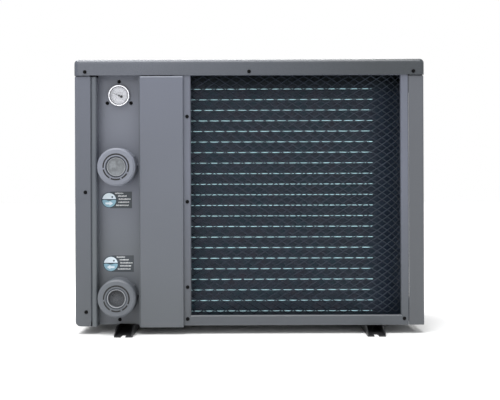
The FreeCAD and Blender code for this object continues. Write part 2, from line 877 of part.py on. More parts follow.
def union(name, height):
    """One union: spigot, loose tailpiece with a pipe socket, and the nut that clamps it."""
    floor = -s.half_depth + s.recess_depth
    base = (s.union_x, floor, height)
    thread = s.thread_radius
    face = 26.0
    outer_pipe = s.pipe_radius
    bore = s.pipe_bore
    spigot = turned(name + "_spigot_body", base, [
        (bore, -46), (outer_pipe - 0.1, -46), (outer_pipe - 0.1, 0.1), (43, 0.1), (43, 5), (thread, 5),
        (thread, face), (29.5, face), (29.5, face - 2.5), (25, face - 2.5), (25, face), (bore, face),
    ], "-y")
    if name == "inlet":
        opening = rod("switch_opening", (s.union_x, s.switch_y, height), 5, s.pipe_radius + 2)
        spigot = less("spigot_cut", spigot, opening)
    piece(spigot, name + "_spigot")
    end = s.nut_front + 1
    stop = end - s.socket_depth
    flange = 36.0
    tail = turned(name + "_tail_body", base, [
        (18, face + 0.1), (flange, face + 0.1), (flange, stop), (s.neck_radius, stop + 1.5),
        (s.neck_radius, end), (s.socket_radius, end), (s.socket_radius, stop), (18, stop),
    ], "-y")
    piece(tail, name + "_tailpiece")
    lip = stop + 2.2
    outer = s.nut_radius
    front = s.nut_front
    nut = turned(name + "_nut_ring", base, [
        (thread + s.thread_gap, 8), (outer + 1.5, 8), (outer + 1.5, 12), (outer, 14), (outer, front - 4),
        (outer - 4, front), (s.nut_opening, front), (s.nut_opening, lip), (flange + 0.6, lip),
        (thread + s.thread_gap, lip - 2),
    ], "-y")
    lugs = []
    corners = [(outer - 1.5, -2.6), (outer + 3.2, -2.2), (outer + 3.2, 2.2), (outer - 1.5, 2.6)]
    for angle in NUT_LUG_ANGLES:
        turn = math.radians(angle)
        lugs.append([
            (u * math.cos(turn) - v * math.sin(turn), u * math.sin(turn) + v * math.cos(turn))
            for u, v in corners
        ])
    ribs = padded(name + "_lugs", "XZ", lugs, (s.union_x, floor - 8, height), 9)
    piece(joined(name + "_nut_lugged", nut, ribs), name + "_nut")


def o_rings():
    """A seal in the face of each spigot, drawn as it sits when clamped."""
    rings = []
    for index, height in enumerate((s.outlet_z, s.inlet_z)):
        base = (s.union_x, -s.half_depth + s.recess_depth, height)
        rings.append(turned("o_ring" + str(index), base, [
            (26, 24), (26.5, 23.6), (28.5, 23.6), (29.3, 24), (29.3, 25.6), (28.5, 26), (26.5, 26),
            (26, 25.6),
        ], "-y"))
    piece(grouped("seals", *rings), "union_o_rings")


def shipping_plug():
    """The cap pushed into the upper union to keep dirt out."""
    base = (s.union_x, -s.half_depth + s.recess_depth, s.outlet_z)
    stop = s.nut_front + 1 - s.socket_depth
    plug = turned("plug", base, [
        (0, stop + 14), (s.socket_radius - 0.6, stop + 14), (s.socket_radius - 0.6, stop + 24),
        (21.0, stop + 24), (20.2, stop + 25.4), (0, stop + 25.4),
    ], "-y")
    piece(plug, "shipping_plug")


def exchanger():
    """The plastic shell with two side ports, and the helical titanium coil inside it."""
    x = s.union_x
    y = s.shell_y
    radius = s.shell_radius
    wall = s.shell_wall
    low = s.shell_bottom
    high = s.shell_top
    outside = turned("shell_outside", (x, y, 0), [
        (0, low), (radius - 12, low), (radius, low + 8), (radius, high - 14), (radius - 14, high),
        (0, high),
    ])
    inside = turned("shell_inside", (x, y, 0), [
        (0, low + wall), (radius - 14, low + wall), (radius - wall, low + 11),
        (radius - wall, high - 16), (radius - 18, high - wall), (0, high - wall),
    ])
    mouth = -110.0
    ports = []
    bores = [inside]
    for index, height in enumerate((s.outlet_z, s.inlet_z)):
        ports.append(rod("port" + str(index), (x, mouth, height), s.pipe_radius + 6, y - mouth, "y"))
        start = (x, mouth - 1, height)
        bores.append(rod("port_bore" + str(index), start, s.pipe_radius, y - mouth, "y"))
    bores.append(rod("gas_hole", (x + 42, y, high - 20), s.line_radius + 0.3, 30))
    bores.append(rod("liquid_hole", (x, y, high - 20), s.line_radius + 0.3, 30))
    shell = less("shell_cut", joined("shell_solid", outside, *ports), *bores)
    piece(shell, "exchanger_shell")
    piece(bent_rod("titanium", coil_route(), 14, s.line_radius), "exchanger_coil")


def coil_route():
    """Corners of the titanium coil's path: down the middle, up in eight-sided turns, out at the top."""
    x = s.union_x.value
    y = s.shell_y.value
    sides = 8
    turns = 12
    pitch = 25.0
    winding_radius = 42.0
    start = 66.0
    above = s.shell_top.value + 1
    points = [(x, y, above), (x, y, start)]
    for step in range(sides * turns + 1):
        angle = 2 * math.pi * step / sides
        across = x + winding_radius * math.cos(angle)
        along = y + winding_radius * math.sin(angle)
        points.append((across, along, start + pitch * step / sides))
    points.append((x + winding_radius, y, above))
    return points


def flow_switch():
    """A paddle switch on the inlet pipe: its housing, and the paddle that swings in the water."""
    x = s.union_x
    z = s.inlet_z
    y = s.switch_y
    boss = turned("switch_boss", (x, y, z), [
        (5, 20), (9, 20), (9, 34), (14, 34), (14, 40), (11, 44), (11, 62), (0, 62), (0, 38), (5, 38),
    ])
    saddle = rod("switch_saddle", (x, y - 20, z), s.pipe_radius, 40, "y")
    piece(less("switch_cut", boss, saddle), "flow_switch")
    half = 0.6
    stem = block("paddle_stem", (x - 1, y - half, z - 10), (x + 1, y + half, z + s.paddle_pivot))
    flag = block("paddle_flag", (x - 7, y - half, z - 16), (x + 7, y + half, z + 4))
    piece(joined("paddle", stem, flag), "flow_paddle")


# ---------------------------------------------------------------- refrigerant side

def refrigerant():
    """Compressor, accumulator, valves and the lines between them."""
    x = s.compressor_x
    y = s.compressor_y
    radius = s.compressor_radius
    floor = s.foot_height + s.sheet
    can = turned("compressor_can", (x, y, floor), [
        (0, 24), (radius - 20, 24), (radius, 40), (radius, 270), (radius - 10, 290), (22, 302), (0, 304),
    ])
    plate_low = floor + 18.5
    plate_corners = [("x-", "y-"), ("x-", "y+"), ("x+", "y-"), ("x+", "y+")]
    plate = rounded_block(
        "compressor_plate", (x - 62, y - 62, plate_low), (x + 62, y + 62, plate_low + 6.5),
        [(14.0, plate_corners)],
    )
    terminal = rod("compressor_terminal", (x, y + 33, floor + 270), 15, 42)
    piece(joined("compressor_solid", can, plate, terminal), "compressor")
    grommets = []
    for index, (side_x, side_y) in enumerate(((-1, -1), (-1, 1), (1, -1), (1, 1))):
        grommets.append(turned("grommet" + str(index), (x + 48 * side_x, y + 48 * side_y, floor), [
            (0, 0), (11, 0), (11, 4), (8, 7), (8, 11), (11, 15), (11, 18.5), (0, 18.5),
        ]))
    piece(grouped("grommets", *grommets), "compressor_grommets")
    tank_x = s.union_x - 38
    tank = turned("tank", (tank_x, y, 0), [
        (0, 70), (10, 70), (25, 84), (25, 236), (10, 252), (6, 254), (0, 254),
    ])
    stub = rod("tank_stub", (tank_x + 20, y, 110), s.line_radius + 2, x - radius - tank_x - 20.2, "x")
    piece(joined("tank_solid", tank, stub), "accumulator")
    valve_z = 420.0
    valve = joined(
        "valve_solid",
        rod("valve_tube", (x - 48, y, valve_z), 14, 96, "x"),
        rod("valve_pilot", (x - 34, y + 20, valve_z), 7, 68, "x"),
        block("valve_bridge", (x - 20, y + 8, valve_z - 5), (x + 20, y + 20, valve_z + 5)),
    )
    ports = [
        rod("valve_in", (x, y, valve_z - 22), 8, 22),
        rod("valve_out0", (x - 28, y, valve_z), 8, 22),
        rod("valve_out1", (x, y, valve_z), 8, 22),
        rod("valve_out2", (x + 28, y, valve_z), 8, 22),
    ]
    piece(joined("valve_ported", valve, *ports), "four_way_valve")
    above = valve_z + 22.1
    line = s.line_radius
    can_top = floor + 304.1
    piece(rod("discharge", (x, y, can_top), line, valve_z - 22.1 - can_top), "discharge_pipe")
    piece(bent_rod("suction", [
        (x, y, above), (x, y, 482), (tank_x, y, 482), (tank_x, y, 254.1),
    ], 16, line), "suction_pipe")
    shell_exit = s.shell_top + 1.1
    piece(bent_rod("exchanger_gas", [
        (x - 28, y, above), (x - 28, y, 462), (s.union_x + 42, s.shell_y, 462),
        (s.union_x + 42, s.shell_y, shell_exit),
    ], 12, line), "exchanger_gas_pipe")
    tube_y = s.coil_front + s.coil_depth / 2
    coil_end = s.coil_left - 3.7
    top_row = s.first_tube + (TUBE_ROWS - 1) * s.tube_pitch
    side_x = s.coil_side - s.coil_depth / 2
    high_y = s.coil_back + 20
    piece(bent_rod("evaporator_gas", [
        (x + 28, y, above), (x + 28, y, s.gas_crossing_z), (x + 95, y, s.gas_crossing_z),
        (x + 95, high_y, s.gas_crossing_z + 40), (x + 95, high_y, top_row), (side_x, high_y, top_row),
        (side_x, s.coil_back + 3.7, top_row),
    ], 12, 5.0), "evaporator_gas_pipe")
    drop_x = s.union_x + 83
    drop_y = s.shell_y - 34
    piece(turned("drier", (drop_x, drop_y, 0), [
        (0, 260), (8, 260), (16, 272), (16, 358), (8, 370), (0, 370),
    ]), "filter_drier")
    valve_low = 176.0
    piece(joined(
        "expansion", turned("expansion_body", (drop_x, drop_y, valve_low), [
            (0, 0), (9, 0), (9, 12), (14, 14), (14, 30), (9, 34), (9, 44), (0, 44),
        ]), rod("expansion_stem", (drop_x, drop_y, valve_low + 22), 9, 26, "y"),
    ), "expansion_valve")
    upper = bent_rod("liquid_upper", [
        (s.union_x, s.shell_y, shell_exit), (s.union_x, s.shell_y, 482),
        (drop_x, drop_y, 482), (drop_x, drop_y, 370.1),
    ], 12, 5.0)
    middle = rod("liquid_middle", (drop_x, drop_y, valve_low + 44.1), 5, 260 - valve_low - 44.2)
    lower = bent_rod("liquid_lower", [
        (drop_x, drop_y, valve_low - 0.1), (drop_x, drop_y, 100), (x + 40, tube_y, 100),
        (x + 40, tube_y, s.first_tube), (coil_end, tube_y, s.first_tube),
    ], 12, 5.0)
    piece(grouped("liquid_lines", upper, middle, lower), "liquid_pipe")


# ---------------------------------------------------------------- gauge

def gauge():
    """The pressure gauge: case, dial, pointer, lens and bezel on the recess floor."""
    base = (s.union_x, -s.half_depth + s.recess_depth, s.gauge_z)
    piece(turned("case", base, [
        (0, -40), (5, -40), (5, -28), (23, -28), (23, 0.1), (25.5, 0.1), (25.5, 2), (23, 2), (23, 5),
        (21.5, 5), (21.5, -2), (0, -2),
    ], "-y"), "gauge_case")
    piece(turned("dial", base, ring_outline(1.2, 21.4, 0.5, 1.3), "-y"), "gauge_dial")
    piece(turned("lens", base, ring_outline(0, 23.2, 5.1, 6.5), "-y"), "gauge_lens")
    bezel = s.bezel_radius
    piece(turned("bezel", base, [
        (23.4, 2.1), (bezel, 2.1), (bezel, 7), (bezel - 1.2, 8.2), (22.6, 8.2), (21.6, 6.7), (23.4, 6.7),
    ], "-y"), "gauge_bezel")
    lean = math.radians(POINTER_ANGLE)
    needle_length = 17.5

    def along(distance, offset):
        across = distance * math.cos(lean) - offset * math.sin(lean)
        up = distance * math.sin(lean) + offset * math.cos(lean)
        return (across, up)

    needle = padded("needle", "XZ", [[
        along(-6, -0.7), along(needle_length, -0.3), along(needle_length, 0.3), along(-6, 0.7),
    ]], (s.union_x, base[1] - 2.6, s.gauge_z), 0.6)
    weight_x, weight_z = along(-6.2, 0)
    weight = rod("weight", (s.union_x + weight_x, base[1] - 2.4, s.gauge_z + weight_z), 3.4, 1.0, "-y")
    arbor = turned("arbor", base, [
        (0, -1.9), (1.0, -1.9), (1.0, 2.2), (2.2, 2.2), (2.2, 3.8), (0, 3.8),
    ], "-y")
    piece(joined("pointer", needle, weight, arbor), "gauge_pointer")


# ---------------------------------------------------------------- electrics and controls

def electrics():
    """The sheet box over the compressor, its board, and the cable gland in the fan-side panel."""
    box = hollow_block(
        "electrical", (-398, -80, 500), (s.control_right - 3, 160, 600), [(3.0, [("z-",)])], 1.2, ("z+",)
    )
    piece(box, "electrical_box")
    board = [block("board", (-388, -66, 509), (-192, 146, 511))]
    for index, place in enumerate(((-378, -56), (-378, 20), (-378, 96))):
        board.append(rod("board_post" + str(index), (place[0] + 4, place[1] + 4, 501.3), 3, 9))
        board.append(rod("board_leg" + str(index), (-198, place[1] + 4, 501.3), 3, 9))
    board.append(block("transformer", (-370, 60, 511), (-320, 105, 548)))
    board.append(rod("capacitor0", (-290, 90, 511), 17, 60))
    board.append(rod("capacitor1", (-245, 90, 511), 14, 45))
    for index in range(4):
        left = -370 + index * 26
        board.append(block("relay" + str(index), (left, -50, 511), (left + 20, -22, 529)))
    board.append(block("terminals", (-250, -56, 511), (-200, -30, 526)))
    piece(joined("board_solid", *board), "control_board")


def controls():
    """The fan-side panel beside the fan, with the controller, its flap and its buttons."""
    back = s.half_depth
    left = -s.half_width + s.flange_width + 1
    centre_x = s.controller_x
    centre_z = s.controller_z
    half_x = s.controller_width / 2
    half_z = s.controller_height / 2
    sheet = block(
        "control_sheet", (left, back - s.sheet, s.right_bottom), (s.control_right - 1, back, s.upstand_top)
    )
    hole = block(
        "control_hole", (centre_x - half_x + 5, back - 5, centre_z - half_z + 5),
        (centre_x + half_x - 5, back + 5, centre_z + half_z - 5),
    )
    gland_x = -350.0
    gland_z = 70.0
    gland_hole = rod("gland_hole", (gland_x, back - 5, gland_z), 10.2, 10, "y")
    piece(less("control_cut", sheet, hole, gland_hole), "control_panel")
    gland = turned("gland", (gland_x, back, gland_z), [
        (6.5, -12), (10, -12), (10, 0.1), (14, 0.1), (14, 7), (12, 8), (12, 18), (9, 21), (6.5, 21),
    ], "y")
    piece(gland, "cable_gland")
    face = back + 9
    housing_edges = [
        ("x-", "y+"), ("x+", "y+"), ("y+", "z-"), ("y+", "z+"),
    ]
    housing = rounded_block(
        "housing", (centre_x - half_x, back + 0.1, centre_z - half_z),
        (centre_x + half_x, face, centre_z + half_z), [(3.0, housing_edges)],
    )
    rear = block(
        "housing_rear", (centre_x - half_x + 6, back - 12, centre_z - half_z + 6),
        (centre_x + half_x - 6, back + 1, centre_z + half_z - 6),
    )
    screen_window = block(
        "screen_window", (centre_x - 40, face - 2.5, centre_z - 2),
        (centre_x + 40, face + 1, centre_z + 34),
    )
    button_z = centre_z - 22
    travel = 1.2
    wells = []
    names = ("power_button", "down_button", "up_button")
    for index, name in enumerate(names):
        button_x = centre_x - 30 + 30 * index
        well_radius = s.button_radius + s.button_gap
        depth = 5.0
        wells.append(rod(name + "_well", (button_x, face - depth, button_z), well_radius, depth + 1, "y"))
        cap = turned(name + "_cap", (button_x, face, button_z), [
            (0, -depth + travel), (s.button_radius, -depth + travel), (s.button_radius, 0.9),
            (s.button_radius - 0.7, 1.6), (0, 1.6),
        ], "y")
        piece(cap, name)
    shell = joined("housing_solid", housing, rear)
    piece(less("housing_cut", shell, screen_window, *wells), "controller_housing")
    flap_low = (centre_x - half_x + 1, face + 2.2, centre_z - half_z + 2)
    flap_high = (centre_x + half_x - 1, face + 4.4, centre_z + half_z - 3)
    flap = rounded_block("flap_plate", flap_low, flap_high, [(1.5, [("y+", "z-")])])
    pivot = (centre_x - half_x + 1, face + 3.3, centre_z + half_z - 3)
    knuckle = rod("flap_knuckle", pivot, 1.8, s.controller_width - 2, "x")
    piece(joined("flap", flap, knuckle), "controller_flap")


# ---------------------------------------------------------------- fasteners

def screw(name, place, axis):
    """A pan-head self-tapping screw, its head on the outside of a sheet."""
    head = s.screw_head
    outline = [
        (0, -s.screw_length), (s.screw_shank - 0.8, -s.screw_length),
        (s.screw_shank, -s.screw_length + 2),
        (s.screw_shank, 0), (head, 0), (head, 1.2), (head - 1.1, 2.4), (1.0, 2.9), (0, 2.9),
    ]
    return turned(name, place, outline, axis)


def screws():
    """Every casing screw: lid, side flanges, recess, gauge ring, coil frame and fan side."""
    front = -s.half_depth
    floor = front + s.recess_depth
    lid_screw_z = s.lid_bottom + 8
    places = []
    for side in (-389, 0, 389):
        places.append(((side, -s.lid_half_depth, lid_screw_z), "-y"))
        places.append(((side, s.lid_half_depth, lid_screw_z), "y"))
    for across, height in ((-389, 337), (-388, 53)):
        places.append(((across, front, height), "-y"))
        places.append(((across, s.half_depth, height), "y"))
    places.append(((s.union_x, floor, 30), "-y"))
    for angle in (90, 212, 328):
        lean = math.radians(angle)
        across = s.union_x + s.screw_circle * math.cos(lean)
        height = s.gauge_z + s.screw_circle * math.sin(lean)
        places.append(((across, floor, height), "-y"))
    for height in (36, 111.4, 314, 516):
        places.append(((-147.4, front, height), "-y"))
    places.append(((366.5, front, 35.6), "-y"))
    for across in (-366, -188, -166, 366):
        for height in (34, 600):
            places.append(((across, s.half_depth, height), "y"))
    made = []
    for index, (place, axis) in enumerate(places):
        made.append(screw("screw" + str(index), place, axis))
    piece(grouped("screw_group", *made), "casing_screws")


# ---------------------------------------------------------------- assembly

def build():
    """Make every sub-part."""
    foot_rail("foot_rail_left", -s.foot_spacing / 2)
    foot_rail("foot_rail_right", s.foot_spacing / 2)
    base_pan()
    lid()
    side_panels()
    connection_panel()
    service_cover()
    coil_frame()
    partition_wall()
    evaporator()
    coil_net()
    fan_panel()
    fan_guard()
    fan()
    union("outlet", s.outlet_z)
    union("inlet", s.inlet_z)
    o_rings()
    shipping_plug()
    exchanger()
    flow_switch()
    refrigerant()
    gauge()
    electrics()
    controls()
    screws()


def check_and_write():
    """Stop on any failed object, then write each sub-part to its own file."""
    document.recompute()
    for thing in document.Objects:
        if "Invalid" in thing.State or "Error" in thing.State:
            raise RuntimeError(thing.Name + " failed: " + str(thing.State))
    os.makedirs("parts", exist_ok=True)
    for thing in parts:
        shape = thing.Shape
        if shape.isNull() or not shape.isValid() or not shape.Solids:
            raise RuntimeError(thing.Label + " has no valid solid")
        shape.exportStep("parts/" + thing.Label + ".step")


build()
check_and_write()
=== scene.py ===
import math
import random

import bmesh
import bpy
from mathutils import Matrix, Vector


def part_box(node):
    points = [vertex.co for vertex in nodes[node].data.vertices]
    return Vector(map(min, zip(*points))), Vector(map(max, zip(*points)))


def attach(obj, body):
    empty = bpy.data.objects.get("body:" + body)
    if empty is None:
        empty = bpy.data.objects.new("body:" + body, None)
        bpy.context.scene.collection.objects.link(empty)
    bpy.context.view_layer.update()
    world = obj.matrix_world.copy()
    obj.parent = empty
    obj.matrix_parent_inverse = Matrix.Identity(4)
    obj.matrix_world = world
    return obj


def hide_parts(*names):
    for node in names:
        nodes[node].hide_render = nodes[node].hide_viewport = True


# The looks of the pool heat pump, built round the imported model. Everything is in metres, in the
# model's frame: +X along the casing, -Y the side with the water unions, +Z up, ground at Z = 0.

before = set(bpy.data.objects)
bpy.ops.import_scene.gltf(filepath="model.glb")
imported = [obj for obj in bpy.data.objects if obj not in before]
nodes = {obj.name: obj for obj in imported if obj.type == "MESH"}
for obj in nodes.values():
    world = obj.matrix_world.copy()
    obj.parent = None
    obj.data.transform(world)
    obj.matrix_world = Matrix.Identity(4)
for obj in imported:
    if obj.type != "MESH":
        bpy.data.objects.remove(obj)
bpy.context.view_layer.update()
MM = 0.001

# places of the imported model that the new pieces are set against, in millimetres
UNION_X = -313.0
OUTLET_Z = 397.0
INLET_Z = 87.5
GAUGE_Z = 569.0
RECESS_FLOOR = -140.0
DIAL_FACE = -141.28
LENS_FACE = -146.48
NUT_FRONT = -200.0
TAIL_RADIUS = 28.0
SOCKET_RADIUS = 25.1
PLUG_FACE = -196.0
LEFT_JOINT = (-376.5, -374.6)
RIGHT_JOINT = (376.1, 377.9)
SCREEN_FACE = 184.0
BUTTON_FACE = 185.55
BUTTON_Z = 448.0
BUTTON_X = {"power": -307.0, "down": -277.0, "up": -247.0}
TUBE_ROWS = 23


def point(x, y, z):
    """A point given in millimetres."""
    return Vector((x, y, z)) * MM


# ---------------------------------------------------------------- camera, floor and lights

def make_camera():
    """A level camera in front of the union side, a little below the middle of the casing."""
    data = bpy.data.cameras.new("camera")
    data.sensor_width = 36
    data.lens = 66.8
    data.shift_y = -0.04
    camera = bpy.data.objects.new("camera", data)
    camera.location = point(1.4, -2375, 365)
    camera.rotation_euler = (math.radians(90), math.radians(0.2), 0)
    bpy.context.scene.collection.objects.link(camera)
    bpy.context.scene.camera = camera


def area_light(name, place, target, size, power, colour=(1, 1, 1)):
    """A soft box aimed at a point."""
    data = bpy.data.lights.new(name, "AREA")
    data.shape = "RECTANGLE"
    data.size, data.size_y = size
    data.energy = power
    data.color = colour
    light = bpy.data.objects.new(name, data)
    light.location = place
    light.rotation_euler = (Vector(target) - Vector(place)).to_track_quat("-Z", "Y").to_euler()
    bpy.context.scene.collection.objects.link(light)


def sun(name, power, spread, direction):
    """A broad distant light, shining along a direction."""
    data = bpy.data.lights.new(name, "SUN")
    data.energy = power
    data.angle = math.radians(spread)
    light = bpy.data.objects.new(name, data)
    light.rotation_euler = Vector(direction).to_track_quat("-Z", "Y").to_euler()
    bpy.context.scene.collection.objects.link(light)


def make_world():
    """An even white surround, a little dimmer as light than as background."""
    world = bpy.data.worlds.new("studio")
    world.use_nodes = True
    tree = world.node_tree
    background = tree.nodes["Background"]
    background.inputs["Color"].default_value = (1, 1, 1, 1)
    path = tree.nodes.new("ShaderNodeLightPath")
    strength = tree.nodes.new("ShaderNodeMapRange")
    strength.inputs["To Min"].default_value = 0.55
    strength.inputs["To Max"].default_value = 1.0
    tree.links.new(path.outputs["Is Camera Ray"], strength.inputs["Value"])
    tree.links.new(strength.outputs["Result"], background.inputs["Strength"])
    bpy.context.scene.world = world


def make_floor(material):
    """A wide pale floor."""
    mesh = bpy.data.meshes.new("floor")
    reach = 12.0
    corners = [(-reach, -reach, 0), (reach, -reach, 0), (reach, reach, 0), (-reach, reach, 0)]
    mesh.from_pydata(corners, [], [(0, 1, 2, 3)])
    mesh.materials.append(material)
    floor = bpy.data.objects.new("floor", mesh)
    floor.location.z = -0.0002
    bpy.context.scene.collection.objects.link(floor)


# ---------------------------------------------------------------- materials

def shade(value):
    """One colour channel from a screen value of 0 to 255 to linear light."""
    share = value / 255
    if share <= 0.04045:
        return share / 12.92
    return ((share + 0.055) / 1.055) ** 2.4


def rgb(red, green, blue):
    """A linear colour from screen values."""
    return (shade(red), shade(green), shade(blue), 1)


def new_material(name):
    """An empty node material, its tree and its shader."""
    material = bpy.data.materials.new(name)
    material.use_nodes = True
    return material, material.node_tree, material.node_tree.nodes["Principled BSDF"]


def add_noise(tree, scale, detail, stretch=(1, 1, 1)):
    """A noise texture in object space, stretched along the axes."""
    place = tree.nodes.new("ShaderNodeTexCoord")
    mapping = tree.nodes.new("ShaderNodeMapping")
    mapping.inputs["Scale"].default_value = stretch
    noise = tree.nodes.new("ShaderNodeTexNoise")
    noise.inputs["Scale"].default_value = scale
    noise.inputs["Detail"].default_value = detail
    tree.links.new(place.outputs["Object"], mapping.inputs["Vector"])
    tree.links.new(mapping.outputs["Vector"], noise.inputs["Vector"])
    return noise


def add_range(tree, source, low, high, start=0.3, end=0.7):
    """Remaps a noise value to a range."""
    spread = tree.nodes.new("ShaderNodeMapRange")
    spread.inputs["From Min"].default_value = start
    spread.inputs["From Max"].default_value = end
    spread.inputs["To Min"].default_value = low
    spread.inputs["To Max"].default_value = high
    tree.links.new(source, spread.inputs["Value"])
    return spread.outputs["Result"]


def add_mix(tree, factor, first, second):
    """A colour mixed between two colours, each a value or a socket."""
    mix = tree.nodes.new("ShaderNodeMix")
    mix.data_type = "RGBA"
    tree.links.new(factor, mix.inputs["Factor"])
    for name, colour in (("A", first), ("B", second)):
        socket = [item for item in mix.inputs if item.name == name and item.type == "RGBA"][0]
        if isinstance(colour, bpy.types.NodeSocket):
            tree.links.new(colour, socket)
        else:
            socket.default_value = colour
    return [item for item in mix.outputs if item.type == "RGBA"][0]


def scaled(colour, factor):
    """A colour made lighter or darker."""
    return (colour[0] * factor, colour[1] * factor, colour[2] * factor, 1)


def finish_material(
    name, colour, roughness, metallic=0.0, drift=0.06, drift_scale=5.0, grain=700.0, bump=0.03,
    bump_depth=0.0003, coat=0.0, stretch=(1, 1, 1), roughness_drift=0.06, gloss=0.5, other=None,
):
    """A solid finish: slow drift of colour, fine grain in the surface, uneven gloss."""
    material, tree, shader = new_material(name)
    slow = add_noise(tree, drift_scale, 3.0)
    share = add_range(tree, slow.outputs["Fac"], 0, 1)
    mixed = add_mix(tree, share, scaled(colour, 1 - drift), scaled(other or colour, 1 + drift))
    tree.links.new(mixed, shader.inputs["Base Color"])
    fine = add_noise(tree, grain, 2.0, stretch)
    uneven = add_range(tree, fine.outputs["Fac"], roughness - roughness_drift, roughness + roughness_drift)
    tree.links.new(uneven, shader.inputs["Roughness"])
    shader.inputs["Specular IOR Level"].default_value = gloss
    relief = tree.nodes.new("ShaderNodeBump")
    relief.inputs["Strength"].default_value = bump
    relief.inputs["Distance"].default_value = bump_depth
    tree.links.new(fine.outputs["Fac"], relief.inputs["Height"])
    tree.links.new(relief.outputs["Normal"], shader.inputs["Normal"])
    shader.inputs["Metallic"].default_value = metallic
    shader.inputs["Coat Weight"].default_value = coat
    return material


def add_gradient(tree, letter, start, end, low, high):
    """A value that runs from low to high between two heights, or widths, of the object."""
    place = tree.nodes.new("ShaderNodeTexCoord")
    split = tree.nodes.new("ShaderNodeSeparateXYZ")
    tree.links.new(place.outputs["Object"], split.inputs["Vector"])
    return add_range(tree, split.outputs[letter], low, high, start, end)


def shaded_material(name, first, second, letter, start, end, roughness, grain=900, bump=0.05):
    """A paint with painted light and shade: it changes steadily from one tone to another across the object.
    """
    material = finish_material(name, first, roughness, drift=0.03, grain=grain, bump=bump)
    tree = material.node_tree
    shader = tree.nodes["Principled BSDF"]
    even = shader.inputs["Base Color"].links[0].from_socket
    share = add_gradient(tree, letter, start, end, 0, 1)
    tree.links.new(add_mix(tree, share, even, second), shader.inputs["Base Color"])
    return material


def recess_material():
    """The connection panel's paint, with painted light and shade: paler on its floor than towards its front,
    and darker and a little greyer low down.
    """
    material = shaded_material(
        "recess_paint", rgb(108, 112, 123), rgb(83, 88, 95), "Y", -0.15, -0.172, 0.42
    )
    tree = material.node_tree
    shader = tree.nodes["Principled BSDF"]
    even = shader.inputs["Base Color"].links[0].from_socket
    # painted shade low down on the panel
    low = add_gradient(tree, "Z", 0.34, 0.2, 0, 0.6)
    tree.links.new(add_mix(tree, low, even, rgb(84, 89, 91)), shader.inputs["Base Color"])
    return material


def fin_material():
    """Coated aluminium fins, darker and bluer where the coil turns the corner, with painted shadow of the
    lid along the top.
    """
    material = finish_material(
        "fin_coating", rgb(76, 100, 114), 0.5, metallic=0.3, drift=0.05, drift_scale=28,
        grain=300, stretch=(1, 1, 0.1), other=rgb(92, 92, 106)
    )
    tree = material.node_tree
    shader = tree.nodes["Principled BSDF"]
    even = shader.inputs["Base Color"].links[0].from_socket
    corner = add_gradient(tree, "X", 0.25, 0.34, 0, 1)
    bend_tone = add_mix(tree, corner, even, rgb(62, 76, 96))
    # painted shadow of the lid along the top of the fins
    top = add_gradient(tree, "Z", 0.57, 0.605, 0, 1)
    tree.links.new(add_mix(tree, top, bend_tone, rgb(40, 48, 54)), shader.inputs["Base Color"])
    return material


def glass_material(name, colour, roughness, alpha):
    """A thin clear cover: mostly see-through, with a glossy face."""
    material, tree, shader = new_material(name)
    smear = add_noise(tree, 30, 3.0)
    tree.links.new(
        add_range(tree, smear.outputs["Fac"], roughness, roughness + 0.06), shader.inputs["Roughness"]
    )
    share = add_range(tree, smear.outputs["Fac"], 0, 1)
    mixed = add_mix(tree, share, scaled(colour, 0.95), colour)
    tree.links.new(mixed, shader.inputs["Base Color"])
    shader.inputs["Alpha"].default_value = alpha
    return material


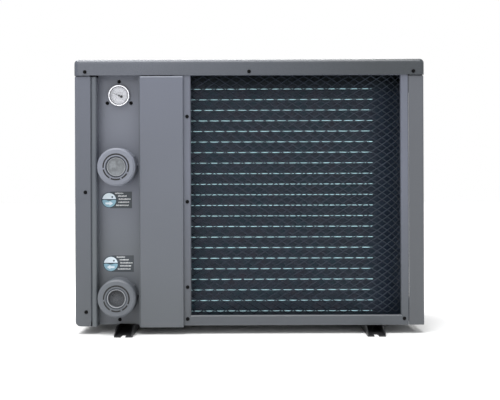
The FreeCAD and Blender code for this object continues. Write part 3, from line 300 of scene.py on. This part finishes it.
materials = {
    # casing
    # painted shade: the casing paint darkens towards the bottom
    "paint": shaded_material(
        "casing_paint", rgb(95, 99, 111), rgb(83, 87, 92), "Z", 0.6, 0.06, 0.42
    ),
    # lit and shaded copies of the casing paint, one for each part, each with painted shade towards the
    # bottom
    "left_paint": shaded_material(
        "left_casing_paint", rgb(88, 92, 103), rgb(75, 79, 84), "Z", 0.6, 0.06, 0.42
    ),
    "frame_paint": shaded_material(
        "frame_casing_paint", rgb(94, 98, 110), rgb(73, 77, 82), "Z", 0.4, 0.04, 0.42
    ),
    "right_paint": shaded_material(
        "right_casing_paint", rgb(85, 88, 94), rgb(76, 79, 83), "Z", 0.6, 0.06, 0.42
    ),
    # painted shade: the lid darkens from left to right
    "lid": shaded_material(
        "lid_paint", rgb(81, 85, 94), rgb(60, 64, 68), "X", -0.25, 0.3, 0.3, bump=0.04
    ),
    "recess": recess_material(),
    # painted shade: a grey that stands in for the shade in the casing joints and on the unions' socket walls
    "shade_grey": finish_material("painted_joint_shade", rgb(70, 75, 82), 0.7, drift=0.1, grain=400),
    "screw": finish_material("screw_black", rgb(12, 12, 13), 0.65, drift=0.1, grain=1500, gloss=0.06),
    "black_paint": finish_material("black_paint", rgb(34, 34, 36), 0.4, drift=0.15, grain=500),
    "galvanised": finish_material(
        "galvanised", rgb(150, 153, 156), 0.38, metallic=0.9, drift=0.18, drift_scale=60, bump=0.02
    ),

    # coil
    "net": finish_material("net_plastic", rgb(45, 52, 62), 0.75, drift=0.1, grain=400, gloss=0.2),
    "fin": fin_material(),
    # painted highlight: the bright lines of light on the collars round the tubes
    "collar": finish_material(
        "collar_highlight_paint", rgb(172, 212, 220), 0.4, metallic=0.1, drift=0.2, drift_scale=60, grain=600
    ),

    # pipework and machinery
    "copper": finish_material(
        "copper_tube", rgb(190, 116, 82), 0.3, metallic=1.0, drift=0.16, drift_scale=20
    ),
    "brass": finish_material("brass", rgb(196, 160, 92), 0.28, metallic=1.0, drift=0.1, drift_scale=30),
    "titanium": finish_material("titanium", rgb(148, 144, 140), 0.35, metallic=1.0, drift=0.08),
    "fan": finish_material("fan_plastic", rgb(52, 54, 58), 0.4, drift=0.08, grain=500),
    "motor": finish_material(
        "motor_aluminium", rgb(160, 162, 165), 0.45, metallic=0.8, drift=0.1, grain=500, bump=0.1
    ),
    "steel": finish_material("bright_steel", rgb(190, 192, 196), 0.25, metallic=1.0, drift=0.05),

    # unions
    "shell": finish_material("shell_plastic", rgb(176, 179, 184), 0.5, drift=0.05, grain=500),
    # painted light and shade: the union plastic is lighter high up and darker low down
    "union": shaded_material(
        "union_plastic", rgb(116, 120, 131), rgb(90, 94, 100), "Z", 0.42, 0.12, 0.5, grain=1100
    ),
    "rim": finish_material("insert_rim", rgb(150, 153, 158), 0.4, drift=0.1, grain=1100),
    # painted shade: the strainer darkens towards its top, inside the bore
    "shade": shaded_material("strainer_plastic", rgb(80, 83, 88), rgb(32, 33, 36), "Z", 0.085, 0.108, 0.5),
    "plug": finish_material(
        "plug_plastic", rgb(110, 114, 118), 0.5, drift=0.3, drift_scale=110, grain=500, bump=0.15
    ),
    "rubber": finish_material("rubber", rgb(24, 24, 25), 0.7, drift=0.1, grain=400, bump=0.1),

    # gauge and labels
    "chrome": finish_material(
        "gauge_steel", rgb(232, 233, 238), 0.2, metallic=0.85, drift=0.02, grain=900, bump=0.01
    ),
    "dial": finish_material("dial_white", rgb(214, 215, 221), 0.5, drift=0.03, drift_scale=80, grain=900),
    "dial_ink": finish_material("scale_ink", rgb(112, 112, 124), 0.6, drift=0.1, grain=900),
    "label_dark": finish_material("label_dark", rgb(58, 64, 70), 0.5, drift=0.08, grain=900),
    "label_print": finish_material("label_print", rgb(212, 215, 217), 0.6, drift=0.12, drift_scale=300),
    "label_pale": finish_material("label_pale", rgb(214, 226, 234), 0.4, drift=0.05, drift_scale=60),
    "label_blue": finish_material("label_blue", rgb(132, 172, 190), 0.4, drift=0.06, drift_scale=60),
    "label_teal": finish_material("label_teal", rgb(32, 58, 70), 0.45, drift=0.08, drift_scale=60),
    "ink": finish_material("dial_ink", rgb(18, 19, 21), 0.7, drift=0.1, grain=900, gloss=0.2),
    "lens": glass_material("gauge_lens", (0.95, 0.97, 1, 1), 0.03, 0.04),

    # controls
    "screen": finish_material("display_glass", rgb(46, 62, 66), 0.12, drift=0.06, drift_scale=40, coat=0.5),
    "board": finish_material("board_green", rgb(40, 92, 62), 0.4, drift=0.1, drift_scale=60),
    "black_plastic": finish_material(
        "black_plastic", rgb(38, 39, 42), 0.42, drift=0.08, grain=1000, bump=0.08
    ),
    "smoked": glass_material("smoked_cover", rgb(60, 62, 68), 0.08, 0.45),

    "floor": finish_material("floor", (0.86, 0.86, 0.86, 1), 0.6, drift=0.01, drift_scale=1.0, grain=60),
}

NODE_MATERIALS = {
    "lid": "lid",
    "paint": "service_cover fan_panel control_panel",
    "left_paint": "left_side_panel",
    "frame_paint": "coil_frame",
    "right_paint": "right_side_panel",
    "recess": "connection_panel",
    "black_paint": "foot_rail_left foot_rail_right fan_guard compressor accumulator",
    "galvanised": "base_pan partition_wall evaporator_end_plates fan_motor_bracket electrical_box",
    "net": "coil_net",
    "screw": "casing_screws",
    "fin": "evaporator_fins",
    "copper": (
        "evaporator_tubes discharge_pipe suction_pipe exchanger_gas_pipe evaporator_gas_pipe"
        " liquid_pipe filter_drier"
    ),
    "brass": "four_way_valve expansion_valve",
    "titanium": "exchanger_coil",
    "shell": "exchanger_shell outlet_spigot inlet_spigot flow_switch",
    "union": "outlet_nut inlet_nut outlet_tailpiece inlet_tailpiece",
    "plug": "shipping_plug",
    "rubber": "union_o_rings compressor_grommets",
    "chrome": "gauge_bezel gauge_case",
    "dial": "gauge_dial",
    "ink": "gauge_pointer",
    "lens": "gauge_lens",
    "fan": "fan_rotor",
    "motor": "fan_motor",
    "steel": "fan_shaft fan_nut",
    "board": "control_board",
    "black_plastic": (
        "cable_gland controller_housing power_button down_button up_button flow_paddle"
    ),
    "smoked": "controller_flap",
}


# ---------------------------------------------------------------- mesh pieces

def paint_nodes():
    """Give every CAD node its procedural material."""
    for key, names in NODE_MATERIALS.items():
        for name in names.split():
            node = nodes[name]
            if not node.material_slots:
                node.data.materials.append(materials[key])
            for material_slot in node.material_slots:
                material_slot.material = materials[key]


def add_piece(name, mesh, material, body, smooth=False):
    """Link a mesh as a piece that rides on a body."""
    mesh.materials.append(materials[material])
    if smooth:
        mesh.shade_smooth()
    piece = bpy.data.objects.new(name, mesh)
    bpy.context.scene.collection.objects.link(piece)
    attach(piece, body)
    return piece


def add_solid(name, verts, faces, material, body):
    """A piece made of closed flat-sided shapes, with its faces turned outwards."""
    mesh = bpy.data.meshes.new(name)
    mesh.from_pydata(verts, [], faces)
    mesh.validate()
    shape = bmesh.new()
    shape.from_mesh(mesh)
    bmesh.ops.recalc_face_normals(shape, faces=shape.faces)
    shape.to_mesh(mesh)
    shape.free()
    return add_piece(name, mesh, material, body)


# ---------------------------------------------------------------- coil and net

class WrapPath:
    """The L that the coil follows, seen from above: along the union side, round a bend, along the
    right side. A distance is measured on the outer face, and an inset goes in from that face."""

    def __init__(self, low, high, bend):
        self.front = low.y
        self.side = high.x
        self.left = low.x
        self.back = high.y
        self.bend = bend
        self.centre = Vector((high.x - bend, low.y + bend))
        self.straight = self.centre.x - low.x
        self.curved = bend * math.pi / 2
        self.length = self.straight + self.curved + self.back - self.centre.y

    def at(self, distance, inset):
        """The point, and the direction of travel there, in the plan."""
        if distance <= self.straight:
            return Vector((self.left + distance, self.front + inset)), Vector((1, 0))
        if distance >= self.straight + self.curved:
            beyond = distance - self.straight - self.curved
            return Vector((self.side - inset, self.centre.y + beyond)), Vector((0, 1))
        turn = (distance - self.straight) / self.bend
        outwards = Vector((math.sin(turn), -math.cos(turn)))
        return self.centre + outwards * (self.bend - inset), Vector((math.cos(turn), math.sin(turn)))

    def stops(self, step, start, end):
        """Distances from start to end: close together round the bend, the ends alone elsewhere."""
        marks = [start, end]
        count = int(self.curved / step)
        for index in range(count + 1):
            mark = self.straight + self.curved * index / count
            if start < mark < end:
                marks.append(mark)
        return sorted(set(marks))


def make_fins():
    """Thin corrugated fins at an even pitch, with the tubes' collars through them, and thin bright bars of
    painted highlight on the collars.
    """
    low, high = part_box("evaporator_fins")
    path = WrapPath(low, high, bend=88 * MM)
    pitch = 1.8 * MM
    half_wall = 0.12 * MM
    # distance in from the outer face, and sideways wave, for each fold of a fin
    folds = [(0, 0), (3, 1.05), (8, -1.05), (13, 1.05), (18, -1.05), (22, 0)]
    verts = []
    faces = []
    for index in range(1, int(path.length / pitch)):
        base = len(verts)
        distance = index * pitch
        for inset, wave in folds:
            place, travel = path.at(distance, inset * MM)
            for side in (-1, 1):
                spot = place + travel * (wave * MM + side * half_wall)
                verts.append((spot.x, spot.y, low.z))
                verts.append((spot.x, spot.y, high.z))
        last = 4 * (len(folds) - 1)
        for fold in range(len(folds) - 1):
            first = base + 4 * fold
            faces.append((first, first + 4, first + 5, first + 1))
            faces.append((first + 2, first + 3, first + 7, first + 6))
            faces.append((first + 1, first + 5, first + 7, first + 3))
            faces.append((first, first + 2, first + 6, first + 4))
        faces.append((base, base + 1, base + 3, base + 2))
        faces.append((base + last, base + last + 2, base + last + 3, base + last + 1))
    mesh = bpy.data.meshes.new("coil_fins")
    mesh.from_pydata(verts, [], faces)
    fins = add_piece("coil_fins", mesh, "fin", "casing")
    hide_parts("evaporator_fins")
    near_end = 0.5 * MM
    far_end = path.length - near_end
    whole = [(near_end, far_end)]
    make_collars(path, low, high, "fin_collars", "fin", 5.0 * MM, 11 * MM, 0, whole, TUBE_ROWS)
    # the bright bars of painted highlight on the collars are drawn on the two straight runs, and not in the
    # top row, in the shade of the lid
    past_bend = path.straight + path.curved + 1 * MM
    runs = [(near_end, path.straight + 1 * MM), (past_bend, far_end)]
    rows = TUBE_ROWS - 1
    make_collars(path, low, high, "collar_highlights", "collar", 1.1 * MM, 0.7 * MM, -0.2 * MM, runs, rows)


def make_collars(path, low, high, name, material, radius, inset, lift, runs, rows):
    """Round bars along the rows of tubes: the sleeves of the fins, or the thin bright bars of painted
    highlight on them.
    """
    pitch = (high.z - low.z) / TUBE_ROWS
    around = 12
    verts = []
    faces = []
    for row in range(rows):
        height = low.z + pitch * (row + 0.5) + lift
        for start, end in runs:
            base = len(verts)
            marks = path.stops(8 * MM, start, end)
            for mark in marks:
                place, travel = path.at(mark, inset)
                across = Vector((travel.y, -travel.x))
                for step in range(around):
                    angle = 2 * math.pi * step / around
                    spot = place + across * radius * math.cos(angle)
                    verts.append((spot.x, spot.y, height + radius * math.sin(angle)))
            for ring in range(len(marks) - 1):
                for step in range(around):
                    first = base + ring * around + step
                    following = base + ring * around + (step + 1) % around
                    faces.append((first, following, following + around, first + around))
    mesh = bpy.data.meshes.new(name)
    mesh.from_pydata(verts, [], faces)
    add_piece(name, mesh, material, "casing", smooth=True)


def make_net():
    """The diamond net: two layers of slanting strands, welded where they cross."""
    low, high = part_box("coil_net")
    path = WrapPath(low, high, bend=92 * MM)
    cell_width = 26.85 * MM
    cell_height = 16.5 * MM
    slope = cell_height / cell_width
    half_width = 1.15 * MM
    half_depth = 0.55 * MM
    around = 8
    verts = []
    faces = []
    rise = path.length * slope
    tall = high.z - low.z
    for lean, inset in ((1, 0.55 * MM), (-1, 0.95 * MM)):
        count = int((tall + rise) / cell_height) + 1
        for index in range(count):
            offset = cell_height * (index + 0.5) - (rise if lean > 0 else 0)
            # the strand is at height offset + lean * slope * distance above the net's foot
            if lean > 0:
                start = max(0, -offset / slope)
                end = min(path.length, (tall - offset) / slope)
            else:
                start = max(0, (offset - tall) / slope)
                end = min(path.length, offset / slope)
            if end - start < 2 * MM:
                continue
            base = low.z + offset
            section = (half_width, half_depth)
            add_strand(verts, faces, path, start, end, base, lean * slope, inset, section, around)
    mesh = bpy.data.meshes.new("diamond_net")
    mesh.from_pydata(verts, [], faces)
    net = add_piece("diamond_net", mesh, "net", "casing", smooth=True)
    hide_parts("coil_net")


def add_strand(verts, faces, path, start, end, foot, slope, inset, halves, around):
    """One strand of the net, an oval bar that climbs with a steady slope along the path."""
    marks = path.stops(5 * MM, start, end)
    base = len(verts)
    lean = math.atan(slope)
    for mark in marks:
        place, travel = path.at(mark, inset)
        outwards = Vector((travel.y, -travel.x))
        height = foot + slope * mark
        for step in range(around):
            angle = 2 * math.pi * step / around
            sideways = halves[0] * math.cos(angle)
            depth = halves[1] * math.sin(angle)
            spot = place + outwards * depth - travel * sideways * math.sin(lean)
            verts.append((spot.x, spot.y, height + sideways * math.cos(lean)))
    for ring in range(len(marks) - 1):
        for step in range(around):
            first = base + ring * around + step
            following = base + ring * around + (step + 1) % around
            faces.append((first, first + around, following + around, following))
    faces.append(tuple(base + step for step in range(around)))
    last = base + (len(marks) - 1) * around
    faces.append(tuple(last + around - 1 - step for step in range(around)))


# ---------------------------------------------------------------- flat shapes and rings

def plaque(name, outlines, back, thickness, material, body):
    """Flat shapes that stand out from the plane y = back towards -Y: outlines of (x, z) in
    millimetres."""
    verts = []
    faces = []
    for outline in outlines:
        base = len(verts)
        count = len(outline)
        for depth in (back, back - thickness):
            for x, z in outline:
                verts.append(point(x, depth, z))
        faces.append(tuple(base + index for index in reversed(range(count))))
        faces.append(tuple(base + count + index for index in range(count)))
        for index in range(count):
            following = (index + 1) % count
            faces.append((base + index, base + following, base + count + following, base + count + index))
    add_solid(name, verts, faces, material, body)


def ring_piece(name, x, z, inner, outer, back, front, material, body):
    """A plain ring whose axis is along Y."""
    around = 72
    verts = []
    faces = []
    for radius, depth in ((inner, back), (outer, back), (outer, front), (inner, front)):
        for index in range(around):
            turn = math.tau * index / around
            verts.append(point(x + radius * math.cos(turn), depth, z + radius * math.sin(turn)))
    for loop in range(4):
        start = loop * around
        beside = (loop + 1) % 4 * around
        for index in range(around):
            following = (index + 1) % around
            faces.append((start + index, start + following, beside + following, beside + index))
    add_solid(name, verts, faces, material, body)


def disc_outline(x, z, radius, start=0, end=360, steps=48):
    """A disc, or the part of one between two angles."""
    span = end - start
    count = steps if span == 360 else steps + 1
    turns = [math.radians(start + span * index / steps) for index in range(count)]
    return [(x + radius * math.cos(turn), z + radius * math.sin(turn)) for turn in turns]


def rectangle(left, bottom, right, top):
    """The four corners of an upright rectangle."""
    return [(left, bottom), (right, bottom), (right, top), (left, top)]


def turned_about(outline, x, z, angle):
    """An outline given about the origin, turned and then moved to a place."""
    turn = math.radians(angle)
    moved = []
    for u, v in outline:
        moved.append((
            x + u * math.cos(turn) - v * math.sin(turn), z + u * math.sin(turn) + v * math.cos(turn)
        ))
    return moved


# ---------------------------------------------------------------- flow labels

def small_print(seed, left, right, lines):
    """Rows of little blocks that read as small print from a distance. No letters are drawn."""
    chance = random.Random(seed)
    blocks = []
    for start, end, height in lines:
        x = left + (right - left) * start
        stop = left + (right - left) * end
        while x < stop:
            width = chance.uniform(1.0, 2.4)
            tall = chance.uniform(2.3, 3.4)
            blocks.append(rectangle(x, height, min(x + width, stop), height + tall))
            x += width + chance.uniform(0.5, 1.1)
    return blocks


def make_label(name, x, z, plate_right, arrow_angle, seed):
    """A round flow sign with an arrow, on a dark plate with rows of small print."""
    plate_face = RECESS_FLOOR - 0.32
    disc_face = plate_face - 0.3
    radius = 18.6
    picture = radius - 1.9

    def layer(part, outlines, back, thickness, material):
        plaque(name + part, outlines, back, thickness, material, "casing")

    half = 20.0
    layer("_plate", [rectangle(x + 2, z - half, plate_right, z + half)], plate_face + 0.3, 0.3, "label_dark")
    # each row of print: where it starts and ends along the plate, as shares, and its height
    rows = [(0.02, 0.5, 14.5), (0.2, 0.72, 8.0), (0.24, 0.94, 0.6), (0.22, 0.86, -6.6), (0.08, 0.82, -14.2)]
    lines = [(start, end, z + height) for start, end, height in rows]
    layer("_print", small_print(seed, x + 13.5, plate_right - 1, lines), plate_face, 0.1, "label_print")
    layer("_rim", [disc_outline(x, z, radius)], plate_face, 0.3, "label_teal")
    layer("_sky", [disc_outline(x, z, picture, 8, 172, 36)], disc_face, 0.1, "label_pale")
    water = disc_outline(x, z - 0.6, picture - 0.1, 180, 360, 36)
    steps = 24
    for index in range(1, steps):
        share = index / steps
        ripple = 1.1 * math.sin(share * math.tau * 1.5)
        water.append((x + picture * (1 - 2 * share), z - 0.8 + ripple))
    layer("_water", [water], disc_face, 0.1, "label_blue")
    arrow = [(-9, -2.3), (1, -2.3), (1, -5.4), (9.5, 0), (1, 5.4), (1, 2.3), (-9, 2.3)]
    layer("_arrow", [turned_about(arrow, x, z - 8.2, arrow_angle)], disc_face - 0.1, 0.12, "label_pale")
    drop = disc_outline(x + 7.5, z + 7.2, 2.2, steps=20)
    layer("_drop", [drop], disc_face - 0.1, 0.12, "label_teal")


# ---------------------------------------------------------------- gauge

def make_gauge_face():
    """The printed scale, the numbers and a thin black ring of painted shade under the bezel."""
    x, z = UNION_X, GAUGE_Z
    first, last = 225, -45
    numbers = 6

    def scale_angle(index, count):
        return first + (last - first) * index / count

    ticks = []
    fine = 60
    for index in range(fine + 1):
        whole = index % (fine // numbers) == 0
        inner = 15.4 if whole else 17.4
        half = 0.32 if whole else 0.16
        ticks.append(turned_about(rectangle(inner, -half, 19.6, half), x, z, scale_angle(index, fine)))
    coarse = 32
    for index in range(coarse + 1):
        ticks.append(turned_about(rectangle(7.6, -0.18, 9.0, 0.18), x, z, scale_angle(index, coarse)))
    plaque("gauge_scale", ticks, DIAL_FACE, 0.08, "dial_ink", "casing")
    reach = 12.4
    for number in range(numbers + 1):
        angle = math.radians(scale_angle(number, numbers))
        make_number(str(number), x + reach * math.cos(angle), z + reach * math.sin(angle))
    # a black ring of painted shade inside the bezel, just in front of the lens
    front = LENS_FACE - 0.37
    ring_piece("gauge_shade_ring", x, z, 20.9, 21.8, LENS_FACE, front, "rubber", "casing")


def make_number(text, x, z):
    """One number of the dial's scale, as a thin flat mesh."""
    curve = bpy.data.curves.new("number_" + text, "FONT")
    curve.body = text
    curve.size = 3.6 * MM
    curve.extrude = 0.04 * MM
    curve.align_x = "CENTER"
    curve.align_y = "CENTER"
    writing = bpy.data.objects.new("number_" + text, curve)
    mesh = bpy.data.meshes.new_from_object(writing)
    mesh.transform(Matrix.Rotation(math.radians(90), 4, "X"))
    mesh.transform(Matrix.Translation(point(x, DIAL_FACE - 0.05, z)))
    mesh.name = "dial_number_" + text
    mesh.materials.clear()
    bpy.data.objects.remove(writing)
    bpy.data.curves.remove(curve)
    add_piece("dial_number_" + text, mesh, "dial_ink", "casing")


# ---------------------------------------------------------------- unions

def make_nut_mouth(name, height, ring_body, tail_body, face):
    """A black ring of painted shade for the shadowed gap in the mouth of a union nut, with its short ribs;
    the pale rim of the insert in the tailpiece, whose face is at y = face; a dark ring of painted shade
    behind it."""
    x = UNION_X
    inner = TAIL_RADIUS + 0.1
    outer = 31.6
    proud = NUT_FRONT - 0.3
    back = NUT_FRONT + 4
    # a black ring of painted shade for the shadowed gap round the tailpiece
    ring_piece(name + "_shade_ring", x, height, inner, outer, back, proud, "rubber", ring_body)
    ribs = []
    for angle in (188, 243, 293, 332):
        rib = rectangle(inner + 0.2, -2.0, outer - 0.2, 2.0)
        ribs.append(turned_about(rib, x, height, angle))
    plaque(name + "_ribs", ribs, NUT_FRONT + 0.2, 0.8, "union", ring_body)
    rim = 21.9
    back = face + 9
    ring_piece(name + "_rim", x, height, 20.4, rim, back, face - 0.6, "rim", tail_body)
    # a dark ring of painted shade on the socket wall behind the rim
    outer = SOCKET_RADIUS - 0.1
    back = face + 5
    ring_piece(name + "_well", x, height, rim, outer, back, face + 1, "shade_grey", tail_body)


def make_strainer():
    """The coarse grille inside the open inlet: rings joined by spokes."""
    x, height = UNION_X, INLET_Z
    width = 2.7
    for index in range(6):
        name = "inlet_strainer_" + str(index)
        inner = 0.5 + index * 3.7
        outer = inner + width
        ring_piece(name, x, height, inner, outer, -186.0, -188.0, "shade", "inlet_tail")
    spokes = []
    for angle in range(0, 180, 30):
        spokes.append(turned_about(rectangle(-20.6, -0.8, 20.6, 0.8), x, height, angle))
    plaque("inlet_strainer_spokes", spokes, -185.6, 1.6, "shade", "inlet_tail")


# ---------------------------------------------------------------- casing joints and controls

def make_seals():
    """Grey strips of painted shade in the upright joints between the side panels and their neighbours,
    on the union side and on the fan side."""
    union_side = -166.0
    fan_side = 173.0
    strips = {
        "left_joint_shade": (LEFT_JOINT, union_side), "right_joint_shade": (RIGHT_JOINT, union_side),
        "fan_side_joint_shade": (RIGHT_JOINT, fan_side),
    }
    for name, ((left, right), back) in strips.items():
        # painted shade: each strip stands in for the soft shade in its joint
        strip = rectangle(left, 30.0, right, 611.0)
        plaque(name, [strip], back, 6.6, "shade_grey", "casing")


def segment_digit(x, z, lit):
    """The lit bars of a seven-segment figure that faces +Y, so its right is towards -X."""
    wide = 4.6
    tall = 8.6
    half = 0.9
    side = 2.0
    gap = 0.4
    bars = {
        "a": rectangle(x - wide, z + tall - half, x + wide, z + tall + half),
        "g": rectangle(x - wide, z - half, x + wide, z + half),
        "d": rectangle(x - wide, z - tall - half, x + wide, z - tall + half),
        "b": rectangle(x - wide - side, z + 3 * gap, x - wide - gap, z + tall - gap),
        "c": rectangle(x - wide - side, z - tall + gap, x - wide - gap, z - 3 * gap),
        "f": rectangle(x + wide + gap, z + 3 * gap, x + wide + side, z + tall - gap),
        "e": rectangle(x + wide + gap, z - tall + gap, x + wide + side, z - 3 * gap),
    }
    return [bars[letter] for letter in lit]


def make_screen():
    """The controller's little display, with a generic temperature figure."""
    glass = rectangle(-318.0, 465.0, -236.0, 503.0)
    plaque("controller_screen", [glass], SCREEN_FACE + 0.4, 0.4, "screen", "casing")
    middle = 484.0
    bars = segment_digit(-266.0, middle, "abged") + segment_digit(-286.0, middle, "abcdefg")
    plaque("controller_figures", bars, SCREEN_FACE + 0.7, 0.3, "label_pale", "casing")


def make_button_marks():
    """A power sign and two arrowheads on the three buttons."""
    x, z = BUTTON_X["power"], BUTTON_Z
    arc = rectangle(1.9, -0.4, 2.7, 0.4)
    power = [turned_about(arc, x, z, turn) for turn in range(130, 411, 14)]
    power.append(rectangle(x - 0.4, z + 0.6, x + 0.4, z + 3.4))
    x = BUTTON_X["down"]
    down = [(x - 2.4, z + 1.4), (x + 2.4, z + 1.4), (x, z - 1.8)]
    x = BUTTON_X["up"]
    up = [(x - 2.4, z - 1.4), (x + 2.4, z - 1.4), (x, z + 1.8)]
    for name, outlines in (("power", power), ("down", [down]), ("up", [up])):
        back = BUTTON_FACE + 0.15
        plaque(name + "_mark", outlines, back, 0.15, "label_print", name)


# ---------------------------------------------------------------- the scene

bpy.context.scene.view_settings.view_transform = "Standard"
make_camera()
make_world()
make_floor(materials["floor"])
sun("sky_light", 3.0, 50, (0.2, 0.32, -1))
sun("front_light", 0.45, 30, (0.25, 1, -0.35))
area_light("overhead", (-0.3, -0.5, 2.6), (0, 0, 0.5), (2.6, 1.2), 22)
area_light("edge_light", (-0.25, 0.75, 1.7), (-0.05, -0.17, 0.65), (1.8, 0.5), 26)
paint_nodes()
make_fins()
make_net()
make_label("outlet_label", -338.0, 318.0, -283.0, 0, seed=3)
make_label("inlet_label", -334.5, 164.5, -279.0, 180, seed=8)
make_gauge_face()
make_nut_mouth("outlet_nut", OUTLET_Z, "outlet_ring", "outlet_tail", PLUG_FACE)
make_nut_mouth("inlet_nut", INLET_Z, "inlet_ring", "inlet_tail", NUT_FRONT + 1)
make_strainer()
make_seals()
make_screen()
make_button_marks()
